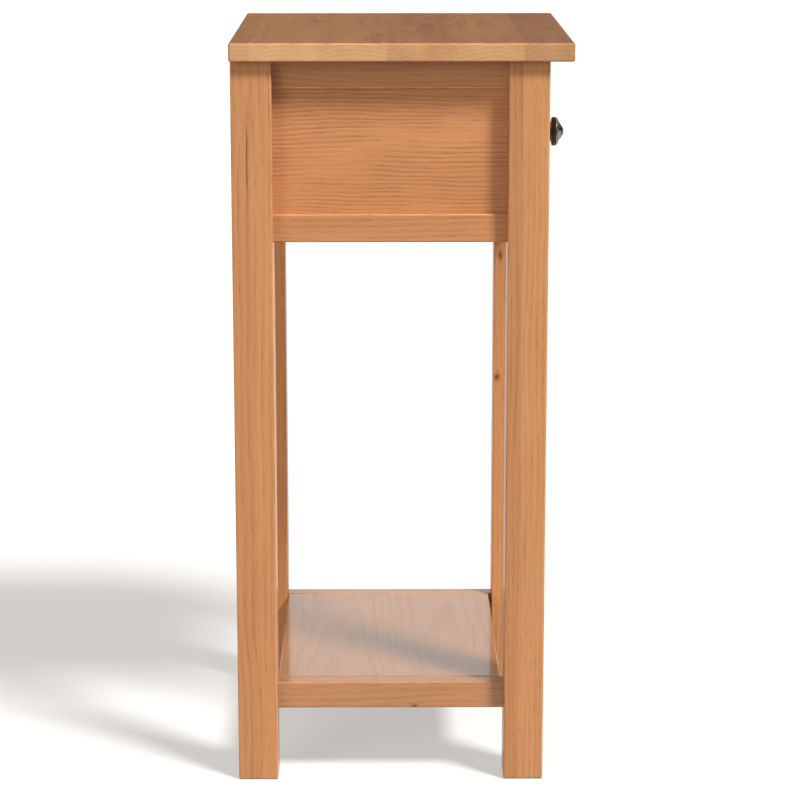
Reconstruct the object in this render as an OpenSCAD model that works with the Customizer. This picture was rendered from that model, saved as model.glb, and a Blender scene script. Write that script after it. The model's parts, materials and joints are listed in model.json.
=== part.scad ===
// Side table with one drawer. Four square legs carry a deep apron of rails and panels,
// a slab top and a low shelf. The front faces -Y, the length runs along X, Z is up, and
// the origin lies on the floor below the middle of the whole table, knob included.

/* [Top] */
// Length of the top, left to right
top_length = 380; // [340:2:600]
// Depth of the top, front to back
top_depth = 334; // [310:2:400]
// Thickness of the top
top_thickness = 18; // [16:1:25]
// Height of the upper face of the top above the floor
table_height = 750; // [650:5:850]
// How far the top stands out past the legs at the front
top_front_overhang = 23; // [10:1:24]
// How far the top stands out past the legs at the back
top_back_overhang = 1; // [0:1:20]
// How far the top stands out past the legs at each end
top_end_overhang = 9; // [2:1:20]
// Radius of the upright corners of the top
top_corner_r = 2; // [1:0.5:6]

/* [Legs] */
// Side of a leg's square section
leg_size = 40; // [40:1:48]
// Radius of the long edges of a leg
leg_edge_r = 1.5; // [0.5:0.25:2]

/* [Rails and panels] */
// Height of every rail
rail_height = 28; // [28:1:34]
// Thickness of every rail
rail_thickness = 18; // [17:0.5:18]
// How far the side and back rails stand back from the legs' outer faces
rail_recess = 14; // [10:1:14]
// How far the front rails and the drawer front stand back from the legs' front faces
front_recess = 2; // [2:0.5:4]
// Height of the apron, upper rail, panel and lower rail together
apron_height = 179; // [160:1:210]
// Thickness of the side and back panels
panel_thickness = 9; // [6:0.5:9]
// How far a panel's face stands back from the face of its rails
panel_set_back = 4; // [3:0.5:4]
// Depth of the grooves that hold the panels
groove_depth = 6; // [5:0.5:6]
// Length of a rail's tenon
tenon_length = 12; // [8:0.5:12]
// Thickness of a rail's tenon
tenon_thickness = 8; // [6:0.5:8]

/* [Shelf] */
// Height of the shelf's upper face above the floor
shelf_height = 100; // [90:1:250]
// Thickness of the shelf board
shelf_thickness = 18; // [14:1:18]
// Gap between the shelf board's ends and the rails beside them
shelf_end_gap = 0.5; // [0.3:0.1:1]
// Gap between the shelf board's front edge and the inner faces of the front legs
shelf_front_gap = 3; // [1:0.5:6]

/* [Drawer] */
// Gap beside and above the drawer front
drawer_gap = 2; // [1:0.25:3]
// Thickness of the drawer front
drawer_front_thickness = 18; // [16:1:18]
// Thickness of the drawer's sides and back
drawer_side_thickness = 12; // [11:0.5:13]
// Height of the drawer's sides
drawer_side_height = 105; // [60:1:105]
// Thickness of the drawer's bottom
drawer_bottom_thickness = 5; // [4:0.5:6]
// Width of the strips that the drawer runs on
runner_width = 20; // [18:1:24]
// Play between the drawer and the strips and stops that guide it
running_gap = 0.3; // [0.2:0.1:0.6]

/* [Knob] */
// Diameter of the knob's head
knob_diameter = 30; // [24:1:36]
// How far the knob stands out from the drawer front
knob_projection = 27; // [26:1:32]

/* [Hidden] */
$fn = 64;
eps = 0.5;

leg_height = table_height - top_thickness;
leg_frame_x = top_length / 2 - top_end_overhang;
leg_frame_depth = top_depth - top_front_overhang - top_back_overhang;

// Front to back, measured so that the whole table is centred on Y = 0
front_reach = max(knob_projection - front_recess, top_front_overhang);
whole_depth = front_reach + leg_frame_depth + top_back_overhang;
front_y = -whole_depth / 2 + front_reach;
back_y = front_y + leg_frame_depth;
middle_y = (front_y + back_y) / 2;

// Inner faces of the legs
leg_inner_x = leg_frame_x - leg_size;
leg_inner_front_y = front_y + leg_size;
leg_inner_back_y = back_y - leg_size;

// Heights of the rails and of their tenons
upper_rail_z = leg_height - rail_height;
lower_rail_z = leg_height - apron_height;
shelf_rail_z = shelf_height - rail_height;
tenon_shoulder = 2;
tenon_height = rail_height - groove_depth - tenon_shoulder;
tenon_cheek = (rail_thickness - tenon_thickness) / 2;
upper_tenon_z = leg_height - tenon_shoulder - tenon_height;
lower_tenon_z = lower_rail_z + tenon_shoulder;
shelf_tenon_z = shelf_rail_z + (rail_height - tenon_height) / 2;

// Panels, which float in their grooves
panel_play = 1;
panel_low_z = lower_rail_z + rail_height;
panel_tongue = groove_depth - panel_play;

// Faces of the side rails, and of the rails across the front and the back
side_rail_x = leg_frame_x - rail_recess - rail_thickness;
front_rail_y = front_y + front_recess;
back_rail_y = back_y - rail_recess - rail_thickness;
front_rail_back_y = front_rail_y + rail_thickness;

// Strips that carry, guide and hold down the drawer
runner_top_z = panel_low_z + 1;
runner_height = 18;
runner_z = runner_top_z - runner_height;
runner_inner_x = leg_inner_x - runner_width;
guide_height = 40;
stub_width = 10;
stub_height = 8;
stub_length = 5;
stub_rise = 2;
kicker_stub_rise = 10;
stop_height = 18;
stop_length = 9.7;

// Drawer box
drawer_z = runner_top_z + running_gap;
drawer_half_x = leg_inner_x - drawer_gap;
drawer_inner_x = drawer_half_x - drawer_side_thickness;
drawer_back_y = back_rail_y - stop_length - running_gap;
drawer_front_back_y = front_rail_y + drawer_front_thickness;
drawer_lap = 8;
drawer_groove = 5;
drawer_dado = 4;
drawer_bottom_rise = 8;
drawer_tail = 6;
drawer_bottom_z = drawer_z + drawer_bottom_rise;
drawer_floor_z = drawer_bottom_z + drawer_bottom_thickness;
drawer_top_z = drawer_z + drawer_side_height;
drawer_inner_back_y = drawer_back_y - drawer_tail - drawer_side_thickness;

// Knob, on an axis square to the drawer front
knob_z = (panel_low_z + upper_rail_z) / 2;
knob_bore_depth = 10;

// Shelf board and the cleats under it
shelf_board_z = shelf_height - shelf_thickness;
cleat_width = 18;
cleat_inset = 10;
cleat_z = shelf_rail_z;

// Screws: shank radius, head radius, head height and hole play
screw_r = 2;
screw_head_r = 3.8;
screw_head_h = 2.4;
screw_play = 0.05;
small_screw_r = 1.5;
small_head_r = 2.8;
small_head_h = 1.8;
top_screw_length = 40;
runner_screw_length = 38;
cleat_screw_length = 28;
shelf_screw_length = 22;
bottom_screw_length = 20;
screw_spread = 71;
cleat_screw_spread = 85;
top_screw_x = leg_inner_x - runner_width / 2;
runner_screw_z = runner_z + 8;
shelf_screw_x = side_rail_x - cleat_width / 2;
cleat_screw_z = (cleat_z + shelf_board_z) / 2;

oak = "#c98e5f";
oak_pale = "#d8a878";
panel_oak = "#c1824f";
inner_wood = "#d9b98c";
ply = "#dcc196";
steel = "#b9bcc0";
antique = "#4a3f3a";

// Block between two opposite corners
module block(low, high) {
    translate(low) cube(high - low);
}

// Rectangle with rounded corners, its low corner at the origin
module rounded_rect(width, depth, r) {
    union() {
        translate([r, 0]) square([width - 2 * r, depth]);
        translate([0, r]) square([width, depth - 2 * r]);
        for (x = [r, width - r], y = [r, depth - r])
            translate([x, y]) circle(r = r);
    }
}

// Countersunk screw, or the hole for it, with its head's face at the origin, pointing along +Z
module screw(length, r, head_r, head_h, play = 0) {
    rotate_extrude()
        polygon([
            [0, -play], [head_r + play, -play], [head_r + play, 0],
            [r + play, head_h], [r + play, length + play], [0, length + play]
        ]);
}

// What a screw has to be turned by to point along +X, or along -X
module along_x(sign) {
    rotate([0, 90 * sign, 0]) children();
}

// ---------------------------------------------------------------- screw places

module tabletop_screw_set(play = 0) {
    for (x = [-top_screw_x, top_screw_x], step = [-1, 0, 1])
        translate([x, middle_y + step * screw_spread, upper_rail_z])
            screw(top_screw_length, screw_r, screw_head_r, screw_head_h, play);
}

module runner_screw_set(play = 0) {
    for (side = [-1, 1], step = [-1, 1])
        translate([side * runner_inner_x, middle_y + step * screw_spread, runner_screw_z])
            along_x(side) screw(runner_screw_length, screw_r, screw_head_r, screw_head_h, play);
}

module shelf_screw_set(play = 0) {
    for (x = [-shelf_screw_x, shelf_screw_x], step = [-1, 1])
        translate([x, middle_y + step * screw_spread, cleat_z])
            screw(shelf_screw_length, small_screw_r, small_head_r, small_head_h, play);
}

module cleat_screw_set(play = 0) {
    for (side = [-1, 1], step = [-1, 1])
        translate([side * (side_rail_x - cleat_width), middle_y + step * cleat_screw_spread, cleat_screw_z])
            along_x(side)
                screw(cleat_screw_length, small_screw_r, small_head_r, small_head_h, play);
}

module drawer_bottom_screw_set(play = 0) {
    for (step = [-1, 1])
        translate([step * screw_spread, drawer_inner_back_y + drawer_side_thickness / 2, drawer_bottom_z])
            screw(bottom_screw_length, small_screw_r, small_head_r, small_head_h, play);
}

// ---------------------------------------------------------------- top and legs

module tabletop() {
    color(oak) difference() {
        translate([-top_length / 2, front_y - top_front_overhang, leg_height])
            linear_extrude(height = top_thickness)
                rounded_rect(top_length, top_depth, top_corner_r);
        tabletop_screw_set(screw_play);
    }
}

// Leg with its outer corner at the origin and its inner faces towards +X and +Y. Mortises
// for the side rails open towards +Y, and those for the rails across open towards +X.
module leg(across_recess, across_panel) {
    side_mortise_x = rail_recess + tenon_cheek;
    deep = leg_size - tenon_length;
    groove_low = panel_low_z - groove_depth;
    groove_high = upper_rail_z + groove_depth;
    color(oak) difference() {
        linear_extrude(height = leg_height) rounded_rect(leg_size, leg_size, leg_edge_r);
        for (z = [shelf_tenon_z, lower_tenon_z, upper_tenon_z])
            block([side_mortise_x, deep, z],
                  [side_mortise_x + tenon_thickness, leg_size + eps, z + tenon_height]);
        for (z = [lower_tenon_z, upper_tenon_z])
            block([deep, across_recess + tenon_cheek, z],
                  [leg_size + eps, across_recess + tenon_cheek + tenon_thickness, z + tenon_height]);
        block([rail_recess + panel_set_back, leg_size - groove_depth, groove_low],
              [rail_recess + panel_set_back + panel_thickness, leg_size + eps, groove_high]);
        if (across_panel)
            block([leg_size - groove_depth, rail_recess + panel_set_back, groove_low],
                  [leg_size + eps, rail_recess + panel_set_back + panel_thickness, groove_high]);
    }
}

module leg_front_left() {
    translate([-leg_frame_x, front_y, 0]) leg(front_recess, false);
}

module leg_front_right() {
    mirror([1, 0, 0]) leg_front_left();
}

module leg_back_left() {
    translate([-leg_frame_x, back_y, 0]) mirror([0, 1, 0]) leg(rail_recess, true);
}

module leg_back_right() {
    mirror([1, 0, 0]) leg_back_left();
}

// ---------------------------------------------------------------- rails

// Rail of the right side, from the front leg to the back leg, with a tenon at each end
module side_rail(z, tenon_z) {
    block([side_rail_x, leg_inner_front_y, z],
          [side_rail_x + rail_thickness, leg_inner_back_y, z + rail_height]);
    block([side_rail_x + tenon_cheek, leg_inner_front_y - tenon_length, tenon_z],
          [side_rail_x + tenon_cheek + tenon_thickness, leg_inner_back_y + tenon_length,
           tenon_z + tenon_height]);
}

// Rail from a left leg to a right leg, with its front face at y, and a tenon at each end
module across_rail(y, z, tenon_z) {
    block([-leg_inner_x, y, z], [leg_inner_x, y + rail_thickness, z + rail_height]);
    block([-leg_inner_x - tenon_length, y + tenon_cheek, tenon_z],
          [leg_inner_x + tenon_length, y + tenon_cheek + tenon_thickness, tenon_z + tenon_height]);
}

// Groove for the right side's panel, in a rail's edge that starts at height z
module side_groove(z) {
    face_x = leg_frame_x - rail_recess - panel_set_back;
    block([face_x - panel_thickness, leg_inner_front_y - eps, z],
          [face_x, leg_inner_back_y + eps, z + groove_depth + eps]);
}

// Groove for the back panel, in a rail's edge that starts at height z
module back_groove(z) {
    face_y = back_y - rail_recess - panel_set_back;
    block([-leg_inner_x - eps, face_y - panel_thickness, z],
          [leg_inner_x + eps, face_y, z + groove_depth + eps]);
}

module right_upper_rail() {
    color(oak) difference() {
        side_rail(upper_rail_z, upper_tenon_z);
        translate([0, 0, -eps]) side_groove(upper_rail_z);
    }
}

module right_lower_rail() {
    color(oak) difference() {
        side_rail(lower_rail_z, lower_tenon_z);
        side_groove(panel_low_z - groove_depth);
        runner_screw_set(screw_play);
    }
}

module left_upper_rail() {
    mirror([1, 0, 0]) right_upper_rail();
}

module left_lower_rail() {
    mirror([1, 0, 0]) right_lower_rail();
}

module back_upper_rail() {
    color(oak) difference() {
        across_rail(back_rail_y, upper_rail_z, upper_tenon_z);
        translate([0, 0, -eps]) back_groove(upper_rail_z);
        strip_stubs(upper_rail_z + kicker_stub_rise);
    }
}

module back_lower_rail() {
    color(oak) difference() {
        across_rail(back_rail_y, lower_rail_z, lower_tenon_z);
        back_groove(panel_low_z - groove_depth);
        strip_stubs(runner_z + stub_rise);
    }
}

module front_upper_rail() {
    color(oak) difference() {
        across_rail(front_rail_y, upper_rail_z, upper_tenon_z);
        strip_stubs(upper_rail_z + kicker_stub_rise);
    }
}

module front_lower_rail() {
    color(oak) difference() {
        across_rail(front_rail_y, lower_rail_z, lower_tenon_z);
        strip_stubs(runner_z + stub_rise);
    }
}

// ---------------------------------------------------------------- panels

module right_panel() {
    face_x = leg_frame_x - rail_recess - panel_set_back;
    color(panel_oak)
        block([face_x - panel_thickness, leg_inner_front_y - panel_tongue, panel_low_z - panel_tongue],
              [face_x, leg_inner_back_y + panel_tongue, upper_rail_z + panel_tongue]);
}

module left_panel() {
    mirror([1, 0, 0]) right_panel();
}

module back_panel() {
    face_y = back_y - rail_recess - panel_set_back;
    color(panel_oak)
        block([-leg_inner_x - panel_tongue, face_y - panel_thickness, panel_low_z - panel_tongue],
              [leg_inner_x + panel_tongue, face_y, upper_rail_z + panel_tongue]);
}

// ---------------------------------------------------------------- shelf

module shelf_board() {
    half_x = side_rail_x - shelf_end_gap;
    color(oak_pale) difference() {
        block([-half_x, leg_inner_front_y + shelf_front_gap, shelf_board_z],
              [half_x, leg_inner_back_y, shelf_height]);
        shelf_screw_set(screw_play);
    }
}

module shelf_right_rail() {
    color(oak) difference() {
        side_rail(shelf_rail_z, shelf_tenon_z);
        cleat_screw_set(screw_play);
    }
}

module shelf_left_rail() {
    mirror([1, 0, 0]) shelf_right_rail();
}

module shelf_right_cleat() {
    color(inner_wood) difference() {
        block([side_rail_x - cleat_width, leg_inner_front_y + cleat_inset, cleat_z],
              [side_rail_x, leg_inner_back_y - cleat_inset, shelf_board_z]);
        shelf_screw_set(screw_play);
        cleat_screw_set(screw_play);
    }
}

module shelf_left_cleat() {
    mirror([1, 0, 0]) shelf_right_cleat();
}

// ---------------------------------------------------------------- drawer strips

// Stub tenons on both ends of the strips, which fit the rails in front and behind
module strip_stubs(z) {
    middle_x = leg_inner_x - runner_width / 2;
    for (side = [-1, 1])
        block([side * middle_x - stub_width / 2, front_rail_back_y - stub_length, z],
              [side * middle_x + stub_width / 2, back_rail_y + stub_length, z + stub_height]);
}

// Strip beside the right legs, from the front rail to the back rail
module right_strip(z, height, stub_z) {
    block([runner_inner_x, front_rail_back_y, z], [leg_inner_x, back_rail_y, z + height]);
    intersection() {
        strip_stubs(stub_z);
        block([0, front_y, 0], [leg_inner_x, back_y, leg_height]);
    }
}

module right_runner() {
    color(inner_wood) difference() {
        right_strip(runner_z, runner_height, runner_z + stub_rise);
        runner_screw_set(screw_play);
    }
}

module left_runner() {
    mirror([1, 0, 0]) right_runner();
}

module right_kicker() {
    color(inner_wood) difference() {
        right_strip(upper_rail_z, rail_height, upper_rail_z + kicker_stub_rise);
        tabletop_screw_set(screw_play);
    }
}

module left_kicker() {
    mirror([1, 0, 0]) right_kicker();
}

module right_guide() {
    color(inner_wood) difference() {
        block([leg_inner_x, leg_inner_front_y, runner_z],
              [side_rail_x, leg_inner_back_y, runner_z + guide_height]);
        runner_screw_set(screw_play);
    }
}

module left_guide() {
    mirror([1, 0, 0]) right_guide();
}

module drawer_stops() {
    stop_width = drawer_side_thickness + 4;
    color(inner_wood)
        for (side = [0, 1]) mirror([side, 0, 0])
            block([leg_inner_x - stop_width, back_rail_y - stop_length, runner_top_z],
                  [leg_inner_x, back_rail_y, runner_top_z + stop_height]);
}

// ---------------------------------------------------------------- drawer

module drawer_front() {
    lap_y = drawer_front_back_y - drawer_lap;
    color(oak) difference() {
        block([-drawer_half_x, front_rail_y, drawer_z],
              [drawer_half_x, drawer_front_back_y, upper_rail_z - drawer_gap]);
        // Laps that take the ends of the sides
        for (side = [0, 1]) mirror([side, 0, 0])
            block([drawer_inner_x, lap_y, drawer_z - eps],
                  [drawer_half_x + eps, drawer_front_back_y + eps, drawer_top_z]);
        // Groove for the bottom
        block([-drawer_half_x, drawer_front_back_y - drawer_groove, drawer_bottom_z],
              [drawer_half_x, drawer_front_back_y + eps, drawer_floor_z]);
        knob_screw_shape(screw_play);
    }
}

module drawer_right_side() {
    low_y = drawer_front_back_y - drawer_lap;
    color(inner_wood) difference() {
        block([drawer_inner_x, low_y, drawer_z], [drawer_half_x, drawer_back_y, drawer_top_z]);
        block([drawer_inner_x - eps, low_y - eps, drawer_bottom_z],
              [drawer_inner_x + drawer_groove, drawer_back_y + eps, drawer_floor_z]);
        block([drawer_inner_x - eps, drawer_inner_back_y, drawer_floor_z],
              [drawer_inner_x + drawer_dado, drawer_inner_back_y + drawer_side_thickness,
               drawer_top_z + eps]);
    }
}

module drawer_left_side() {
    mirror([1, 0, 0]) drawer_right_side();
}

module drawer_back() {
    half_x = drawer_inner_x + drawer_dado;
    color(inner_wood) difference() {
        block([-half_x, drawer_inner_back_y, drawer_floor_z],
              [half_x, drawer_inner_back_y + drawer_side_thickness, drawer_top_z]);
        drawer_bottom_screw_set(screw_play);
    }
}

module drawer_bottom() {
    half_x = drawer_inner_x + drawer_groove;
    color(ply) difference() {
        block([-half_x, drawer_front_back_y - drawer_groove, drawer_bottom_z],
              [half_x, drawer_inner_back_y + drawer_side_thickness, drawer_floor_z]);
        drawer_bottom_screw_set(screw_play);
    }
}

module drawer_bottom_screws() {
    color(steel) drawer_bottom_screw_set();
}

// ---------------------------------------------------------------- knob

// Turned head on a waisted stem, with the axis along -Y from the drawer front
module knob() {
    r = knob_diameter / 2;
    tip = knob_projection;
    rim_low = tip - 12.4;
    rim_high = tip - 7.6;
    waist = 4.6;
    color(antique)
        translate([0, front_rail_y, knob_z])
            rotate([90, 0, 0])
                rotate_extrude()
                    difference() {
                        polygon([
                            [0, 0], [8, 0], [8.4, 0.6], [8, 1.6], [6.2, 2.4], [waist + 0.4, 4.4],
                            [waist, 7], [waist + 0.6, 9.4], [waist + 2.6, 11.6], [r - 4, rim_low - 0.6],
                            [r - 1, rim_low], [r, rim_low + 1.4], [r, rim_high - 1.2],
                            [r - 0.8, rim_high], [r - 2.6, rim_high + 0.6], [r - 5, rim_high + 2.2],
                            [r - 8, rim_high + 4.8], [r - 10.5, tip - 0.8], [r - 12.6, tip - 0.1],
                            [0, tip]
                        ]);
                        square([screw_r + screw_play, knob_bore_depth]);
                    }
}

// Machine screw from inside the drawer into the knob, pointing along -Y
module knob_screw_shape(play = 0) {
    head_h = 2.2;
    translate([0, drawer_front_back_y, knob_z])
        rotate([90, 0, 0])
            rotate_extrude()
                polygon([
                    [0, -head_h], [3.4, -head_h], [4, -head_h + 0.6], [4, 0], [screw_r + play, 0],
                    [screw_r + play, drawer_front_thickness + knob_bore_depth - 1], [0,
                    drawer_front_thickness + knob_bore_depth - 1]
                ]);
}

module knob_screw() {
    color(steel) knob_screw_shape();
}

// ---------------------------------------------------------------- screws

module tabletop_screws() {
    color(steel) tabletop_screw_set();
}

module runner_screws() {
    color(steel) runner_screw_set();
}

module shelf_screws() {
    color(steel) shelf_screw_set();
}

module cleat_screws() {
    color(steel) cleat_screw_set();
}

tabletop();
leg_front_left();
leg_front_right();
leg_back_left();
leg_back_right();
left_upper_rail();
left_panel();
left_lower_rail();
right_upper_rail();
right_panel();
right_lower_rail();
back_upper_rail();
back_panel();
back_lower_rail();
front_upper_rail();
front_lower_rail();
shelf_board();
shelf_left_rail();
shelf_right_rail();
shelf_left_cleat();
shelf_right_cleat();
left_runner();
right_runner();
left_guide();
right_guide();
left_kicker();
right_kicker();
drawer_stops();
drawer_front();
drawer_left_side();
drawer_right_side();
drawer_back();
drawer_bottom();
knob();
knob_screw();
tabletop_screws();
runner_screws();
shelf_screws();
cleat_screws();
drawer_bottom_screws();
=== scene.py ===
"""Side table with one drawer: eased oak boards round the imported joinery, a turned knob, screws,
a pale floor, soft light and a camera looking at the table's left end."""

import json
import math
import random

import bmesh
import bpy
from mathutils import Matrix, Vector


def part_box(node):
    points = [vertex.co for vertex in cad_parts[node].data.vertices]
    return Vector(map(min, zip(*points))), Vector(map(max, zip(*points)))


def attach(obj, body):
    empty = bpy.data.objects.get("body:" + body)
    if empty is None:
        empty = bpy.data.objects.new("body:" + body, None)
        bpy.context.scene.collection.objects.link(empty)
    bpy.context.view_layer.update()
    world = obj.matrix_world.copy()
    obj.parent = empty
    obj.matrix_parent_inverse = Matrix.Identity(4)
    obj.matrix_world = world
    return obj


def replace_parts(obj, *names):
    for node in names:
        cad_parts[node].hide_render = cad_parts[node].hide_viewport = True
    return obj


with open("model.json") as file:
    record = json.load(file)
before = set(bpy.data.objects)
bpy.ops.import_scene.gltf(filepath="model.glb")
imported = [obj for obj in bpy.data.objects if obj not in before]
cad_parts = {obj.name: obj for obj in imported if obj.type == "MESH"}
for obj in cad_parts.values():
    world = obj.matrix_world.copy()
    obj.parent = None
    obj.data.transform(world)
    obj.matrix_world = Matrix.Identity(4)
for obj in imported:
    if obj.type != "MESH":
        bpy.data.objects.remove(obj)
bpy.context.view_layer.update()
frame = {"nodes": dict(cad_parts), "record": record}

MM = 0.001
SEED = 784
random.seed(SEED)

# Mesh work
WELD = 0.001 * MM
FLAT_ANGLE = math.radians(1)
ARRIS_ANGLE = math.radians(60)
SMOOTH_ANGLE = math.radians(35)
SHORTEST_ARRIS = 40 * MM
ARRIS_SEGMENTS = 4

AXES = {"X": Vector((1, 0, 0)), "Y": Vector((0, 1, 0)), "Z": Vector((0, 0, 1))}


# ---------------------------------------------------------------- small helpers

def rgb(red, green, blue):
    """Linear colour from the usual 0 to 255 values."""
    def linear(value):
        share = value / 255
        return share / 12.92 if share <= 0.04045 else ((share + 0.055) / 1.055) ** 2.4
    return (linear(red), linear(green), linear(blue), 1.0)


def mid(node):
    """Centre of a CAD node's box."""
    low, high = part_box(node)
    return (low + high) / 2


def new_piece(name, work, material, slot, body):
    """Object from a bmesh, smooth over small angles, riding on a body."""
    bmesh.ops.recalc_face_normals(work, faces=work.faces)
    mesh = bpy.data.meshes.new(name)
    work.to_mesh(mesh)
    work.free()
    mesh.shade_smooth()
    mesh.set_sharp_from_angle(angle=SMOOTH_ANGLE)
    piece = bpy.data.objects.new(name, mesh)
    bpy.context.scene.collection.objects.link(piece)
    mesh.materials.append(material)
    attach(piece, body)
    return piece


def bridge(work, rings):
    """Faces between rings of vertices, each ring joined to the one after it."""
    for under, over in zip(rings, rings[1:]):
        for index, vert in enumerate(under):
            after = (index + 1) % len(under)
            work.faces.new((vert, under[after], over[after], over[index]))


def body_of_node(node):
    """The body that a CAD node rides on."""
    bodies = frame["record"]["behaviour"]["bodies"]
    return next(body for body, nodes in bodies.items() if node in nodes)


# ---------------------------------------------------------------- node materials

class Shader:
    """Builds a node material. Every method returns the socket that it makes."""

    def __init__(self, name):
        self.material = bpy.data.materials.new(name)
        self.material.use_nodes = True
        self.tree = self.material.node_tree
        self.tree.nodes.clear()
        self.surface = self.tree.nodes.new("ShaderNodeBsdfPrincipled")
        output = self.tree.nodes.new("ShaderNodeOutputMaterial")
        self.tree.links.new(self.surface.outputs["BSDF"], output.inputs["Surface"])

    def feed(self, socket, value):
        """Links a socket to a socket, or sets it to a plain value."""
        if isinstance(value, bpy.types.NodeSocket):
            self.tree.links.new(value, socket)
        else:
            socket.default_value = value

    def set(self, **values):
        for name, value in values.items():
            self.feed(self.surface.inputs[name.replace("_", " ")], value)

    def position(self):
        return self.tree.nodes.new("ShaderNodeTexCoord").outputs["Object"]

    def own(self, name, output="Fac"):
        """A property of the object, such as its seed."""
        node = self.tree.nodes.new("ShaderNodeAttribute")
        node.attribute_type = "OBJECT"
        node.attribute_name = name
        return node.outputs[output]

    def math(self, operation, first, second=0.0, clamp=False):
        node = self.tree.nodes.new("ShaderNodeMath")
        node.operation = operation
        node.use_clamp = clamp
        self.feed(node.inputs[0], first)
        self.feed(node.inputs[1], second)
        return node.outputs["Value"]

    def vector(self, operation, first, second=(0.0, 0.0, 0.0), output="Vector"):
        node = self.tree.nodes.new("ShaderNodeVectorMath")
        node.operation = operation
        self.feed(node.inputs[0], first)
        self.feed(node.inputs[1], second)
        return node.outputs[output]

    def scaled(self, vector, share):
        node = self.tree.nodes.new("ShaderNodeVectorMath")
        node.operation = "SCALE"
        self.feed(node.inputs[0], vector)
        self.feed(node.inputs["Scale"], share)
        return node.outputs["Vector"]

    def split(self, vector):
        node = self.tree.nodes.new("ShaderNodeSeparateXYZ")
        self.feed(node.inputs[0], vector)
        return node.outputs["X"], node.outputs["Y"], node.outputs["Z"]

    def join(self, x, y, z):
        node = self.tree.nodes.new("ShaderNodeCombineXYZ")
        for socket, value in zip(node.inputs, (x, y, z)):
            self.feed(socket, value)
        return node.outputs[0]

    def remap(self, value, low, high, new_low=0.0, new_high=1.0, smooth=True):
        """value from low..high to new_low..new_high, held at both ends."""
        node = self.tree.nodes.new("ShaderNodeMapRange")
        node.interpolation_type = "SMOOTHSTEP" if smooth else "LINEAR"
        node.clamp = True
        for name, given in (
            ("Value", value), ("From Min", low), ("From Max", high),
            ("To Min", new_low), ("To Max", new_high),
        ):
            self.feed(node.inputs[name], given)
        return node.outputs["Result"]

    def mix(self, share, first, second, blend="MIX"):
        node = self.tree.nodes.new("ShaderNodeMix")
        node.data_type = "RGBA"
        node.blend_type = blend
        self.feed(node.inputs["Factor"], share)
        self.feed(node.inputs[6], first)
        self.feed(node.inputs[7], second)
        return node.outputs[2]

    def noise(self, vector, scale=1.0, detail=2.0, roughness=0.5):
        node = self.tree.nodes.new("ShaderNodeTexNoise")
        self.feed(node.inputs["Vector"], vector)
        node.inputs["Scale"].default_value = scale
        node.inputs["Detail"].default_value = detail
        node.inputs["Roughness"].default_value = roughness
        return node.outputs["Fac"]

    def chance(self, value):
        """A fixed random number for each whole value."""
        node = self.tree.nodes.new("ShaderNodeTexWhiteNoise")
        node.noise_dimensions = "1D"
        self.feed(node.inputs["W"], value)
        return node.outputs["Value"]

    def bump(self, height, distance, strength):
        node = self.tree.nodes.new("ShaderNodeBump")
        node.inputs["Strength"].default_value = strength
        node.inputs["Distance"].default_value = distance
        self.feed(node.inputs["Height"], height)
        self.feed(self.surface.inputs["Normal"], node.outputs["Normal"])

    def arris(self, place):
        """Distance from a point to the nearest edge of the board's own box."""
        from_low = self.vector("SUBTRACT", place, self.own("low", "Vector"))
        from_high = self.vector("SUBTRACT", self.own("high", "Vector"), place)
        x, y, z = self.split(self.vector("MINIMUM", from_low, from_high))
        least = self.math("MINIMUM", x, y)
        most = self.math("MAXIMUM", x, y)
        return self.math("MAXIMUM", least, self.math("MINIMUM", most, z))

    def facing(self):
        """Direction that the face looks, along the object's own axes."""
        node = self.tree.nodes.new("ShaderNodeVectorTransform")
        node.vector_type = "NORMAL"
        node.convert_from = "WORLD"
        node.convert_to = "OBJECT"
        geometry = self.tree.nodes.new("ShaderNodeNewGeometry")
        self.feed(node.inputs[0], geometry.outputs["True Normal"])
        return node.outputs[0]


def along(axis, lengthwise, crosswise):
    """Scale of a texture that runs along the grain: slow lengthwise, fast crosswise."""
    return tuple(lengthwise if axis == name else crosswise for name in "XYZ")


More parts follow.
